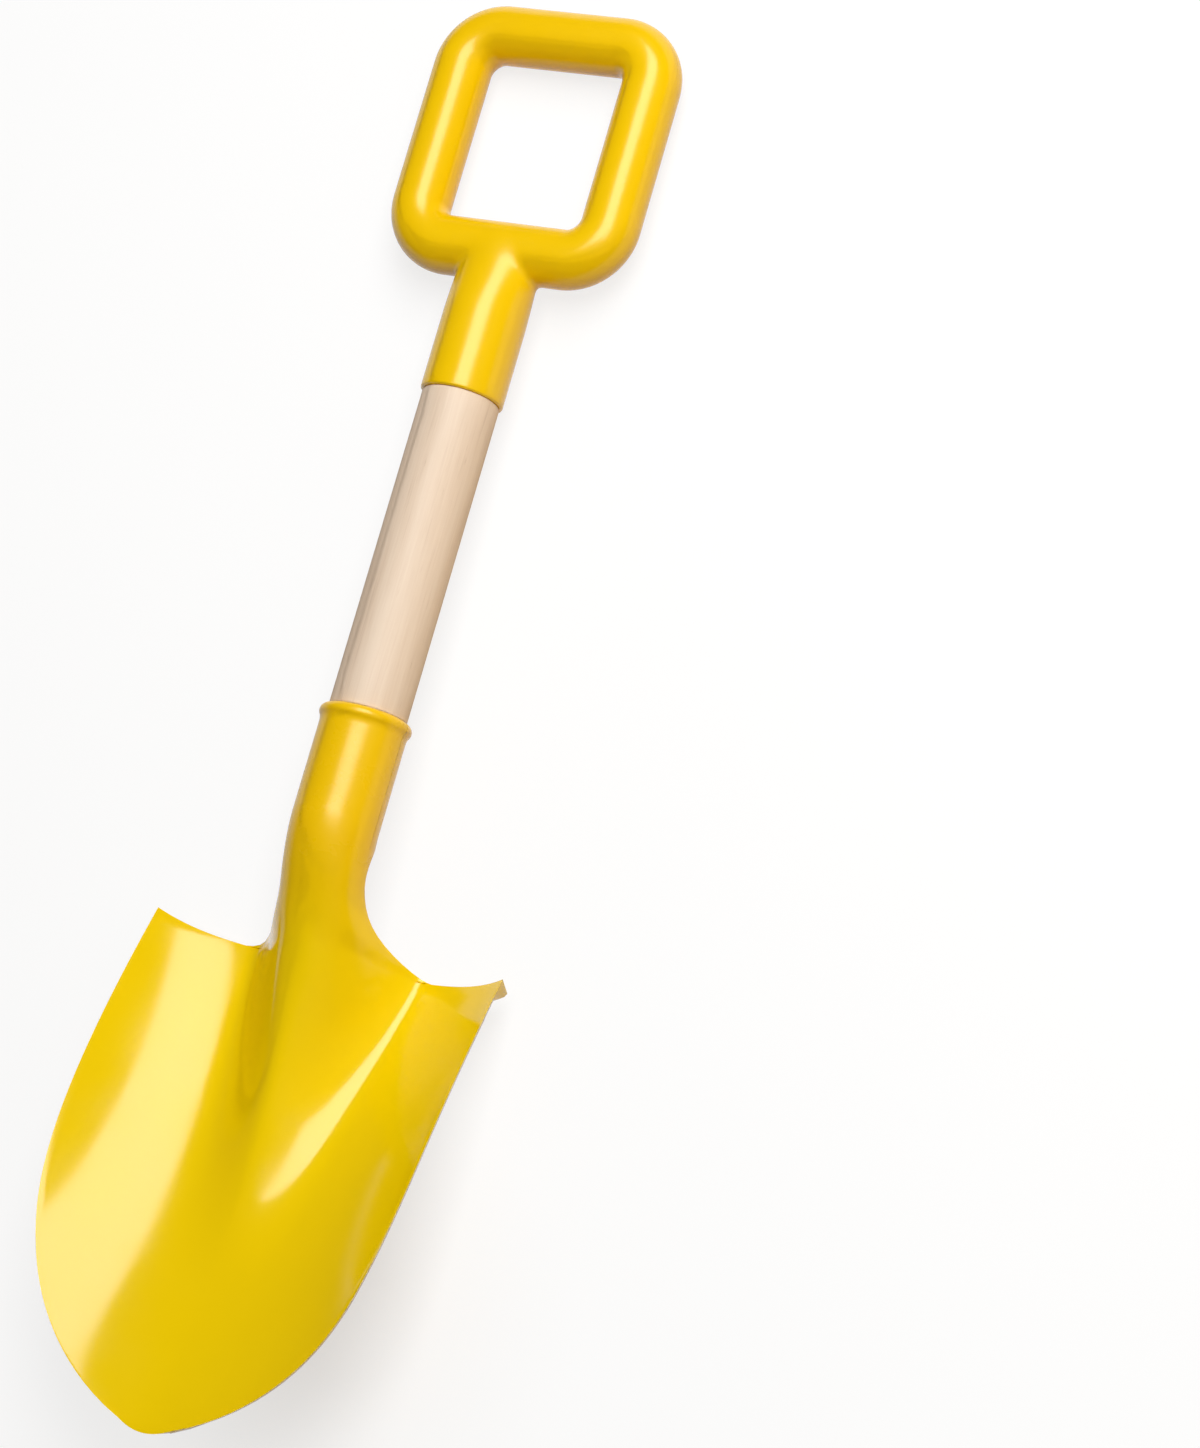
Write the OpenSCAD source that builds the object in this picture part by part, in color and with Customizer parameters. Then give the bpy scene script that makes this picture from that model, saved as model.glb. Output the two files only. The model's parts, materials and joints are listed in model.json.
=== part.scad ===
// Sand shovel for a child: a moulded scoop blade and a moulded loop grip, each with a socket,
// on a turned wooden shaft, and one screw through the back of each socket.
// The pieces are drawn in the shaft's own frame: X across, Y along the shaft towards the grip,
// Z out of the scoop, with Y = 0 at the rim of the blade's socket. The finished shovel is then
// laid on its back, so that the lip of the blade and the end of the grip touch the ground at Z = 0.

/* [Shaft] */
// Diameter of the wooden shaft
shaft_d = 22; // [17:0.5:27]
// Bare wood between the two sockets
shaft_bare = 93; // [60:1:160]
// Width of the shoulder where each end is turned down to a tenon
shoulder_w = 1; // [0.6:0.1:1.6]
// Length of the tenon in each socket
tenon_l = 25; // [18:1:30]

/* [Grip] */
// Thickness of the grip's round bar
bar_d = 16.8; // [13:0.2:21]
// Width of the hand opening
opening_w = 42.4; // [34:0.2:60]
// Length of the hand opening along the shaft
opening_l = 47.9; // [36:0.1:70]
// Radius of the hand opening's corners
opening_r = 3.2; // [2:0.2:8]
// Wall of the grip's socket
grip_wall = 1.7; // [1.2:0.1:2.6]
// Length of the grip's socket, from its mouth to the loop
grip_socket_l = 36; // [31:0.5:50]
// Part of the grip's socket that rounds off towards the loop
grip_dome_l = 5; // [3:0.5:8]

/* [Blade socket] */
// Wall of the blade's socket
socket_wall = 2.1; // [1.5:0.1:3]
// Thickness of the rolled bead around the socket's mouth
bead_d = 4; // [2.5:0.1:5]
// How far the bead stands out from the socket
bead_proud = 0.85; // [0.4:0.05:1.2]
// Floor that closes the bottom of the socket
socket_floor = 4; // [3:0.5:6]

/* [Blade] */
// Widest part of the blade
blade_w = 107.6; // [90:0.2:130]
// Length of the blade from its ears to its tip
blade_l = 140.2; // [115:0.2:165]
// Thickness of the moulded sheet
sheet = 2.2; // [1.6:0.1:2.8]
// Length of the neck from the socket to the level of the ears
neck_l = 31; // [26:0.5:40]
// How far the top edge dips between the ears and the neck
top_dip = 4; // [1:0.2:7]
// Length of the rounding from the neck's sides into the top edge
fillet_l = 21; // [14:0.5:25]
// Width of that rounding past the foot of the central ridge, where it runs out into the top edge
fillet_w = 4.5; // [1.5:0.5:8.5]
// How far the ears lie behind the shaft's axis
ear_back = 15; // [10:0.5:20]
// How far the floor of the bowl lies behind the shaft's axis, at the ears
keel_back = 27; // [23:0.5:31]
// How far the tip lies in front of the shaft's axis
tip_front = 7; // [2:0.5:12]
// How far the side edges come in front of the shaft's axis
rim_front = 8.1; // [3:0.1:14]
// Sag of the bowl's floor between the ears and the tip
keel_sag = 2; // [0:0.5:5]
// Width of the central ridge where it leaves the neck
ridge_w = 54; // [46:1:58]
// Height of the ridge above the floor of the bowl, at the ears
ridge_h = 29; // [24:0.5:34]
// Length of the ridge from the ears to where it dies away
ridge_l = 100; // [80:1:120]
// Depth of the lip that is turned back along the top edge
lip_depth = 2.8; // [1:0.2:5]
// Thickness of that lip
lip_t = 3.2; // [2.4:0.1:4]

/* [Screws] */
// Diameter of the screw's shank
screw_d = 2.6; // [2:0.1:3.5]
// Diameter of the screw's flat head
screw_head_d = 6; // [5:0.1:7]
// Length of the screw with its head
screw_l = 12; // [9:0.5:14]
// Distance of each screw from its socket's mouth
screw_inset = 13; // [8:0.5:16]

/* [Hidden] */
$fn = 96;

// Play between a tenon and its socket, and at the end of each tenon
fit_gap = 0.1;
tenon_end_gap = 1;
// Overrun of cuts past the face they open
cut = 1;
// How far the neck's skin starts inside the socket's own surface, and its floor
skin_inset = 0.05;
skin_lap = 2;
// Chamfer on the tenons and rounding of the grip socket's mouth
tenon_chamfer = 1;
mouth_r = 0.7;
// How far the sheet's edge slopes in from the front to the back
edge_slope = 0.5;
// How far a screw's head lies under the socket's surface, the cross in it, and the screw's point
head_sink = 0.2;
recess_depth = 1.1;
recess_w = 0.9;
point_l = 2.5;

tenon_d = shaft_d - 2 * shoulder_w;
bore_d = tenon_d + 2 * fit_gap;
bore_l = tenon_l + tenon_end_gap;
bar_r = bar_d / 2;
screw_head_h = (screw_head_d - screw_d) / 2;

// Grip: bar axes of the loop, measured from the grip socket's mouth
elbow_r = opening_r + bar_r;
loop_half_w = (opening_w + bar_d) / 2;
loop_low = grip_socket_l + bar_r;
loop_high = loop_low + opening_l + bar_d;
grip_socket_r = bore_d / 2 + grip_wall;
grip_mouth = shaft_bare;

// Blade socket, from its rim at zero down to the neck
socket_r = bore_d / 2 + socket_wall;
socket_l = bore_l + socket_floor;
bead_r = bead_d / 2;
bead_centre_r = socket_r + bead_proud - bead_r;

// Shape of the blade. The outline is half_w * (1 - v^taper_power)^round_power, with v running
// from 0 at the ears to 1 at the tip. Rows stop just short of the tip, and bow out to close it.
half_w = blade_w / 2;
ears_y = -(socket_l + neck_l);
// Width across the ridge and the roundings on both its sides, at the top edge
foot_w = ridge_w + 2 * fillet_w;
taper_power = 5;
round_power = 0.74;
last_row_share = 0.985;
bow_power = 8;
dip_power = 5;
// Share of the blade's length where the side edges reach their foremost line
rim_share = 0.64;
rim_power = 1.62;
// How late the bowl's floor rises towards its sides, at the ears and at the tip
bowl_ears_power = 2.75;
bowl_tip_power = 1.75;
// Rise and fall of the ridge, along it and across it. Its flanks turn from full to hollow over
// the given share of its run, and its foot narrows to a share of its width.
ridge_fade_power = 1.6;
ridge_narrow_power = 1.3;
ridge_end_share = 0.55;
ridge_full_power = 2.2;
ridge_hollow_power = 1.6;
ridge_turn_share = 0.4;
column_narrow_power = 1.4;
// Share of the half width over which the lip grows to its full depth
lip_grow_share = 0.16;
// Slopes on the lip's top and under it, as shares of its thickness
lip_top_share = 0.6;
lip_under_share = 0.75;
// Slopes of the bowl's floor and of the ridge over it, at the ears
floor_slope = (tip_front + keel_back - 4 * keel_sag) / blade_l;
ridge_slope = ridge_fade_power * ridge_h / ridge_l;
// Share of the neck's length over which the ridge's section turns into the socket's round one
neck_turn_share = 0.63;
neck_turn_l = neck_turn_share * neck_l;
// Angle by which the neck's sides wrap round under the shaft's axis, where the neck meets the socket
wrap_angle = 55;
// How soon the trim of the sheet's edge dies away from the edge
trim_power = 5;
// Least share of the half width that the ridge's columns take, where the ridge dies away
least_foot_share = 0.25;

// Counts of cells: across the neck, across each wing, down the blade, round the fillet, up the neck
neck_cells = 8;
wing_cells = 9;
blade_rows = 28;
fillet_rows = 6;
neck_rows = 5;

function mix(a, b, t) = a + (b - a) * t;
function smooth(t) = let (u = min(max(t, 0), 1)) u * u * (3 - 2 * u);
// Cubic from a to b with the given slopes per unit of t at its two ends
function hermite(a, slope_a, b, slope_b, t) =
    (2 * t ^ 3 - 3 * t ^ 2 + 1) * a + (t ^ 3 - 2 * t ^ 2 + t) * slope_a
    + (3 * t ^ 2 - 2 * t ^ 3) * b + (t ^ 3 - t ^ 2) * slope_b;

// Lines of the blade along its length, as heights over the shaft's axis
function outline(v) = half_w * (1 - v ^ taper_power) ^ round_power;
function keel(v) = mix(-keel_back, tip_front, v) - 4 * keel_sag * v * (1 - v);
function rim(v) = v < rim_share
    ? rim_front - (rim_front + ear_back) * (1 - v / rim_share) ^ rim_power
    : rim_front - (rim_front - tip_front) * ((v - rim_share) / (1 - rim_share)) ^ 2;
function ridge_run(v) = min(v * blade_l / ridge_l, 1);
function ridge_height(v) = ridge_h * (1 - ridge_run(v)) ^ ridge_fade_power;
function ridge_half_w(v) = ridge_w / 2 * mix(1, ridge_end_share, ridge_run(v) ^ ridge_narrow_power);
function ridge_profile(t, run) = abs(t) < 1
    ? (1 - abs(t) ^ mix(ridge_full_power, ridge_hollow_power, smooth(run / ridge_turn_share))) ^ 2 : 0;
function bowl_power(v) = mix(bowl_ears_power, bowl_tip_power, v);

// Columns run from the left edge to the right edge. The middle ones follow the foot of the ridge
// and carry on up the neck.
side_cells = neck_cells + wing_cells;
column_count = 2 * side_cells + 1;
function foot_share(v) =
    max(foot_w / 2 * (1 - ridge_run(v) ^ column_narrow_power) / outline(v), least_foot_share);
function column_share(v, c) =
    let (k = c - side_cells, a = abs(k), foot = foot_share(v))
    sign(k) * (a <= neck_cells ? foot * a / neck_cells : mix(foot, 1, (a - neck_cells) / wing_cells));

// Rows of the blade, with the lip's two rows first
lip_shares = [0, lip_t / blade_l, (1 + lip_under_share) * lip_t / blade_l];
blade_shares = concat(lip_shares,
    [for (k = [1 : blade_rows]) mix(lip_shares[2], last_row_share, k / blade_rows)]);

function blade_point(v, share) =
    let (x = share * outline(v),
        reach = v + (1 - last_row_share) * (v / last_row_share) ^ bow_power * (1 - share ^ 2),
        y = ears_y - blade_l * reach - top_dip * (1 - abs(share) ^ dip_power) * (1 - v) ^ 3,
        ridge = ridge_height(v) * ridge_profile(x / ridge_half_w(v), ridge_run(v)))
    [x, y, keel(reach) + (rim(v) - keel(v)) * abs(share) ^ bowl_power(v) + ridge];

// Rows of the neck, each a section square to the shaft. The lower ones follow the fillet that
// sweeps from the neck's side into the top edge, and the upper ones run up into the socket.
neck_r = socket_r - skin_inset;
neck_top = neck_l + top_dip + skin_lap;
fillet_rises = [for (k = [1 : fillet_rows]) fillet_l * (1 - cos(90 * k / fillet_rows))];
neck_rises = [for (k = [1 : neck_rows]) mix(fillet_l, neck_top, k / neck_rows)];
rises = concat(fillet_rises, neck_rises);
neck_row_count = len(rises);

// The ridge's section at the ears, carried on up the neck
function ridge_carried(x, rise) =
    blade_point(0, x / half_w)[2] + rise * (ridge_slope * ridge_profile(2 * x / ridge_w, 0) - floor_slope);

function neck_side_x(rise) = rise >= fillet_l ? neck_r
    : mix(foot_w / 2, neck_r, sqrt(1 - (1 - rise / fillet_l) ^ 2));
function neck_crest_z(rise) =
    let (run = neck_l + top_dip, slope = (ridge_slope - floor_slope) * run)
    rise >= run ? neck_r : hermite(blade_point(0, 0)[2], slope, neck_r, 0, rise / run);
function neck_point(rise, a) =
    let (side_x = neck_side_x(rise),
        round_share = smooth(rise / neck_turn_l),
        turn = a * (90 + wrap_angle * smooth((rise - neck_turn_l) / (neck_top - neck_turn_l))),
        x = mix(side_x * a, side_x * sin(turn), round_share),
        round_z = neck_crest_z(rise) - neck_r * (1 - cos(turn)))
    [x, ears_y - top_dip + rise, mix(ridge_carried(side_x * a, rise), round_z, round_share)];

// The front of the moulded sheet as a grid. Row 0 lies inside the socket, and rows from
// neck_row_count on are the blade. Columns beyond the neck's own repeat its side there.
grid = [
    for (r = [neck_row_count - 1 : -1 : 0])
        [for (c = [0 : column_count - 1])
            neck_point(rises[r], min(max((c - side_cells) / neck_cells, -1), 1))],
    for (v = blade_shares)
        [for (c = [0 : column_count - 1]) blade_point(v, column_share(v, c))]
];
row_count = len(grid);

// A cell lies between two rows and two columns. Above the blade only the neck's columns have cells.
function has_cell(r, c) = r >= 0 && r < row_count - 1 && c >= 0 && c < column_count - 1
    && (r >= neck_row_count || (c >= side_cells - neck_cells && c < side_cells + neck_cells));
function row_step(r, c, step) =
    has_cell(r + min(step, 0), c) || has_cell(r + min(step, 0), c - 1) ? r + step : r;
function column_step(r, c, step) =
    has_cell(r, c + min(step, 0)) || has_cell(r - 1, c + min(step, 0)) ? c + step : c;
function unit(p) = p / norm(p);
// On the blade's outer rows and columns, the facing of the next ones in is used
function facing(r, c) =
    let (s = min(r, row_count - 3),
        d = r < neck_row_count ? c : min(max(c, 1), column_count - 2),
        across = grid[s][column_step(s, d, 1)] - grid[s][column_step(s, d, -1)],
        along = grid[row_step(s, d, -1)][d] - grid[row_step(s, d, 1)][d])
    unit(cross(across, along));
function in_grid(r, c) =
    has_cell(r, c) || has_cell(r - 1, c) || has_cell(r, c - 1) || has_cell(r - 1, c - 1);
// The lip is turned straight back. It grows from nothing at the ridge's foot, on the first two rows.
function lip_part(r, c) =
    r < neck_row_count || r > neck_row_count + 1 ? 0
    : smooth((abs(column_share(0, c)) - foot_share(0)) / lip_grow_share);
function offset_point(r, c) =
    let (lip = lip_part(r, c))
    !in_grid(r, c) ? grid[r][c]
    : grid[r][c] - (sheet + lip_depth * lip) * unit(mix(facing(r, c), [0, 0, 1], lip))
        - (r == neck_row_count ? [0, lip_top_share * lip_t * lip, 0] : [0, 0, 0]);

// Below the lip the back is drawn in, so that the sheet's edge slopes in from the front
function edge_trim(r, c) =
    let (v = blade_shares[r - neck_row_count],
        edge_c = c < side_cells ? 0 : column_count - 1,
        side_trim = abs(offset_point(r, edge_c)[0] - grid[r][edge_c][0]) + edge_slope,
        tip_trim = grid[row_count - 1][c][1] - offset_point(row_count - 1, c)[1] + edge_slope)
    [-sign(c - side_cells) * side_trim * abs(column_share(v, c)) ^ trim_power,
        tip_trim * (v / last_row_share) ^ trim_power, 0];
back_grid = [for (r = [0 : row_count - 1]) [for (c = [0 : column_count - 1])
    r < neck_row_count + 2 ? offset_point(r, c) : offset_point(r, c) + edge_trim(r, c)]];

// Laying the shovel down: the steepest line from a point of the blade's back that passes under
// the end of the grip gives the angle, and the blade's tip and the grip's end give the middle.
grip_end_y = grip_mouth + loop_high;
function rest_angle(p) =
    let (gap = grip_end_y - p[1])
    atan2(-p[2], gap) - asin(bar_r / norm([gap, p[2]]));
blade_back_points = [for (r = [neck_row_count : row_count - 1]) each back_grid[r]];
lie_angle = max([for (p = blade_back_points) rest_angle(p)]);
function laid_y(p) = p[1] * cos(lie_angle) + p[2] * sin(lie_angle);
tip_y = min([for (p = concat(grid[row_count - 1], back_grid[row_count - 1])) laid_y(p)]);
middle_y = (tip_y + laid_y([0, grip_end_y, 0]) + bar_r) / 2;
ground_z = -grip_end_y * sin(lie_angle) - bar_r;

module lay_down() {
    translate([0, -middle_y, -ground_z]) rotate([-lie_angle, 0, 0]) children();
}

// Turns a shape drawn along Z so that it runs along the shaft, towards the grip
module along_shaft(y = 0) {
    translate([0, y, 0]) rotate([-90, 0, 0]) children();
}

// Places a shape drawn along Z at a screw's head, pointing in from the back of the socket
module at_screw(y, socket_radius) {
    translate([0, y, head_sink - sqrt(socket_radius ^ 2 - screw_head_d ^ 2 / 4)]) children();
}

module sheet_solid() {
    function front_id(r, c) = r * column_count + c;
    function back_id(r, c) = front_id(r, c) + row_count * column_count;
    // Both halves are split along mirrored diagonals
    function quad(a, b, c, d, flip) = flip ? [[a, b, d], [b, c, d]] : [[a, b, c], [a, c, d]];
    function wall(r0, c0, r1, c1) =
        let (left = c0 + c1 < 2 * side_cells)
        quad(front_id(r0, c0), front_id(r1, c1), back_id(r1, c1), back_id(r0, c0), left);
    cells = [for (r = [0 : row_count - 2]) for (c = [0 : column_count - 2]) if (has_cell(r, c)) [r, c]];
    faces = [
        for (k = cells)
            let (r = k[0], c = k[1], left = c < side_cells)
            each concat(
                quad(front_id(r, c), front_id(r, c + 1), front_id(r + 1, c + 1), front_id(r + 1, c), left),
                quad(back_id(r + 1, c), back_id(r + 1, c + 1), back_id(r, c + 1), back_id(r, c), left),
                has_cell(r - 1, c) ? [] : wall(r, c + 1, r, c),
                has_cell(r + 1, c) ? [] : wall(r + 1, c, r + 1, c + 1),
                has_cell(r, c - 1) ? [] : wall(r, c, r + 1, c),
                has_cell(r, c + 1) ? [] : wall(r + 1, c + 1, r, c + 1))
    ];
    points = concat([for (row = grid) each row], [for (row = back_grid) each row]);
    polyhedron(points = points, faces = faces, convexity = 10);
}

module socket_solid() {
    rotate([90, 0, 0]) rotate_extrude() {
        square([socket_r, socket_l]);
        translate([bead_centre_r, bead_r]) circle(bead_r);
    }
}

module screw_hole(y, socket_radius) {
    at_screw(y, socket_radius) rotate_extrude() polygon([
        [0, -socket_radius],
        [screw_head_d / 2, -socket_radius],
        [screw_head_d / 2, 0],
        [screw_d / 2, screw_head_h],
        [screw_d / 2, socket_radius],
        [0, socket_radius]
    ]);
}

module blade() {
    color([0.96, 0.79, 0.02]) lay_down() difference() {
        union() {
            sheet_solid();
            socket_solid();
        }
        along_shaft(-bore_l) cylinder(d = bore_d, h = bore_l + cut);
        screw_hole(-screw_inset, socket_r);
    }
}

module shaft() {
    tenon_r = tenon_d / 2;
    color([0.93, 0.83, 0.71]) lay_down() difference() {
        along_shaft() rotate_extrude() polygon([
            [0, -tenon_l],
            [tenon_r - tenon_chamfer, -tenon_l],
            [tenon_r, -tenon_l + tenon_chamfer],
            [tenon_r, 0],
            [shaft_d / 2, 0],
            [shaft_d / 2, shaft_bare],
            [tenon_r, shaft_bare],
            [tenon_r, shaft_bare + tenon_l - tenon_chamfer],
            [tenon_r - tenon_chamfer, shaft_bare + tenon_l],
            [0, shaft_bare + tenon_l]
        ]);
        at_screw(-screw_inset, socket_r) screw_body();
        at_screw(grip_mouth + screw_inset, grip_socket_r) screw_body();
    }
}

module grip_loop() {
    for (side = [-1, 1]) {
        translate([side * loop_half_w, loop_low + elbow_r, 0]) rotate([-90, 0, 0])
            cylinder(r = bar_r, h = loop_high - loop_low - 2 * elbow_r);
        for (end = [[loop_low, 1], [loop_high, -1]]) {
            translate([side * (loop_half_w - elbow_r), end[0] + end[1] * elbow_r, 0])
                rotate([0, 0, side * end[1] > 0 ? (side > 0 ? 270 : 90) : (side > 0 ? 0 : 180)])
                rotate_extrude(angle = 90) translate([elbow_r, 0]) circle(bar_r);
        }
    }
    for (y = [loop_low, loop_high]) {
        translate([elbow_r - loop_half_w, y, 0]) rotate([0, 90, 0])
            cylinder(r = bar_r, h = 2 * (loop_half_w - elbow_r));
    }
}

module grip_socket() {
    dome_y = grip_socket_l - grip_dome_l;
    dome_h = loop_low - dome_y;
    arc_steps = 10;
    along_shaft() rotate_extrude() polygon(concat(
        [[0, 0], [grip_socket_r - mouth_r, 0], [grip_socket_r, mouth_r]],
        [for (k = [0 : arc_steps])
            let (a = 90 * k / arc_steps) [grip_socket_r * cos(a), dome_y + dome_h * sin(a)]]));
}

module grip() {
    color([0.97, 0.8, 0.02]) lay_down() difference() {
        translate([0, grip_mouth, 0]) {
            grip_loop();
            grip_socket();
        }
        along_shaft(grip_mouth - cut) cylinder(d = bore_d, h = bore_l + cut);
        screw_hole(grip_mouth + screw_inset, grip_socket_r);
    }
}

module screw_body() {
    rotate_extrude() polygon([
        [0, 0],
        [screw_head_d / 2, 0],
        [screw_d / 2, screw_head_h],
        [screw_d / 2, screw_l - point_l],
        [0, screw_l]
    ]);
}

module screw() {
    difference() {
        screw_body();
        for (turn = [0, 90]) {
            rotate([0, 0, turn]) translate([-screw_head_d / 4, -recess_w / 2, -cut])
                cube([screw_head_d / 2, recess_w, recess_depth + cut]);
        }
    }
}

module retaining_screws() {
    color([0.72, 0.72, 0.74]) lay_down() {
        at_screw(-screw_inset, socket_r) screw();
        at_screw(grip_mouth + screw_inset, grip_socket_r) screw();
    }
}

blade();
shaft();
grip();
retaining_screws();
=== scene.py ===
"""Looks of a child's sand shovel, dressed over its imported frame.

The blade, the grip and the shaft are modelled in the shaft's own frame: X across, Y along the shaft towards
the grip, Z out of the scoop, and Y = 0 at the rim of the blade's socket. They are then laid down along the
axis that the frame's record gives for the bare shaft. All sizes are in metres.
"""

import json
import logging
import math
from dataclasses import dataclass
from enum import Enum
from typing import Any, Iterable, Sequence

import bmesh
import bpy
from bmesh.types import BMEdge, BMesh, BMVert
from bpy.types import Material, Mesh, Node, NodeSocket, NodeTree, Object
from mathutils import Euler, Matrix, Vector


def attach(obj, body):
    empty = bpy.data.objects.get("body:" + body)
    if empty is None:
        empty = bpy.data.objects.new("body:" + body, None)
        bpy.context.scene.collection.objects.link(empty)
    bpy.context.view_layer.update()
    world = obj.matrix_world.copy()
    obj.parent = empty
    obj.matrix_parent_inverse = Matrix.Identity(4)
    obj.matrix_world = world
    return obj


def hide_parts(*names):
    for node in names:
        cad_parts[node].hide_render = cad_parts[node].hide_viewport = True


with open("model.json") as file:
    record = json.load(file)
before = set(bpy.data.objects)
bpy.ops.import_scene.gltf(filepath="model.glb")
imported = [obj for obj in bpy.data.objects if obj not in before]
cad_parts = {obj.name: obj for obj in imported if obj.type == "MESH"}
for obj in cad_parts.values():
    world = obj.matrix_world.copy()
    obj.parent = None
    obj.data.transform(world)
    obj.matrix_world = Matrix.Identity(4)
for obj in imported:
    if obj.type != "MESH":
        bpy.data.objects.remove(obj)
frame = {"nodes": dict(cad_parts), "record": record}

Pair = tuple[float, float]
Triple = tuple[float, float, float]

log = logging.getLogger("sand_shovel")
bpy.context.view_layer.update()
SHARP_ANGLE = math.radians(48.0)
SMALL = 1e-6
TINY = 1e-7
ZERO = (0.0, 0.0, 0.0)
WHITE = (1.0, 1.0, 1.0)


class Slot(Enum):
    """The names of the record's material slots."""

    BLADE = "blade_plastic"
    SHAFT = "shaft_wood"
    GRIP = "grip_plastic"


def mix(low: float, high: float, share: float) -> float:
    """Straight blend from low to high."""
    return low + (high - low) * share


def ease(share: float) -> float:
    """Soft step from 0 to 1 with flat ends."""
    held = min(max(share, 0.0), 1.0)
    return held * held * (3.0 - 2.0 * held)


def only(kind: type, geom: Iterable[Any]) -> list[Any]:
    """The items of one kind in an operator's result."""
    return [item for item in geom if isinstance(item, kind)]


def pull(bm: BMesh, edges: Sequence[BMEdge]) -> tuple[list, list]:
    """Extrudes a row of edges.

    Args:
        bm: the mesh.
        edges: the row to extrude.

    Returns:
        The new row's vertices and edges.
    """
    made = bmesh.ops.extrude_edge_only(bm, edges=list(edges))["geom"]
    fresh = only(BMVert, made)
    kept = set(fresh)
    return fresh, [edge for edge in only(BMEdge, made) if all(vert in kept for vert in edge.verts)]


def lathe(
    points: Sequence[Sequence[float]], centre: Sequence[float], axis: Sequence[float], steps: int
) -> BMesh:
    """Spins an outline by a full turn.

    Args:
        points: the outline, from the axis out and back to it.
        centre: a point on the axis.
        axis: the axis.
        steps: faces round the turn.

    Returns:
        The closed solid.
    """
    bm = bmesh.new()
    verts = [bm.verts.new(point) for point in points]
    edges = [bm.edges.new(pair) for pair in zip(verts, verts[1:])]
    bmesh.ops.spin(
        bm, geom=verts + edges, cent=centre, axis=axis, dvec=ZERO, angle=math.tau, steps=steps,
        use_merge=True, use_duplicate=False,
    )
    bmesh.ops.remove_doubles(bm, verts=bm.verts[:], dist=TINY)
    bmesh.ops.recalc_face_normals(bm, faces=bm.faces[:])
    return bm


def add_mirror(bm: BMesh) -> None:
    """Adds a half's mirror image in X and joins the two."""
    bmesh.ops.mirror(bm, geom=bm.verts[:] + bm.edges[:] + bm.faces[:], axis="X", merge_dist=SMALL)
    bmesh.ops.remove_doubles(bm, verts=bm.verts[:], dist=SMALL)


def link_mesh(name: str, bm: BMesh) -> Object:
    """Links a mesh to the scene as an object at the origin.

    Args:
        name: the object's name.
        bm: its mesh, which is freed.

    Returns:
        The object.
    """
    mesh = bpy.data.meshes.new(name)
    bm.to_mesh(mesh)
    bm.free()
    made = bpy.data.objects.new(name, mesh)
    bpy.context.scene.collection.objects.link(made)
    return made


def draw(bm: BMesh, edges: Sequence[BMEdge], *steps: Sequence[float]) -> tuple[list, list]:
    """Extrudes a row of edges step by step.

    Args:
        bm: the mesh.
        edges: the row to extrude.
        steps: the move of each new row from the one before.

    Returns:
        The last row's vertices and edges.
    """
    for step in steps:
        verts, edges = pull(bm, edges)
        bmesh.ops.translate(bm, verts=verts, vec=step)
    return verts, edges


@dataclass(frozen=True)
class Lie:
    """How the shovel lies: the shaft's own frame inside the row's frame."""

    middle: Vector
    axis: Vector
    from_rim: float

    @classmethod
    def from_record(cls) -> "Lie":
        """Reads the bare shaft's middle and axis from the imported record.

        Returns:
            How the shovel lies.
        """
        clip = next(mount for mount in frame["record"]["mounts"] if mount["name"] == "shaft_clip")
        half_l = clip["dims"]["length_mm"] / 2000.0
        return cls(Vector(clip["pos_m"]), Vector(clip["axis"]).normalized(), half_l)

    def turn(self) -> float:
        """The shaft's slope against the ground."""
        return math.atan2(self.axis.z, self.axis.y)

    def matrix(self) -> Matrix:
        """The transform from the shaft's frame to the row's frame."""
        rim = self.middle - self.axis * self.from_rim
        return Matrix.Translation(rim) @ Matrix.Rotation(self.turn(), 4, "X")


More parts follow.
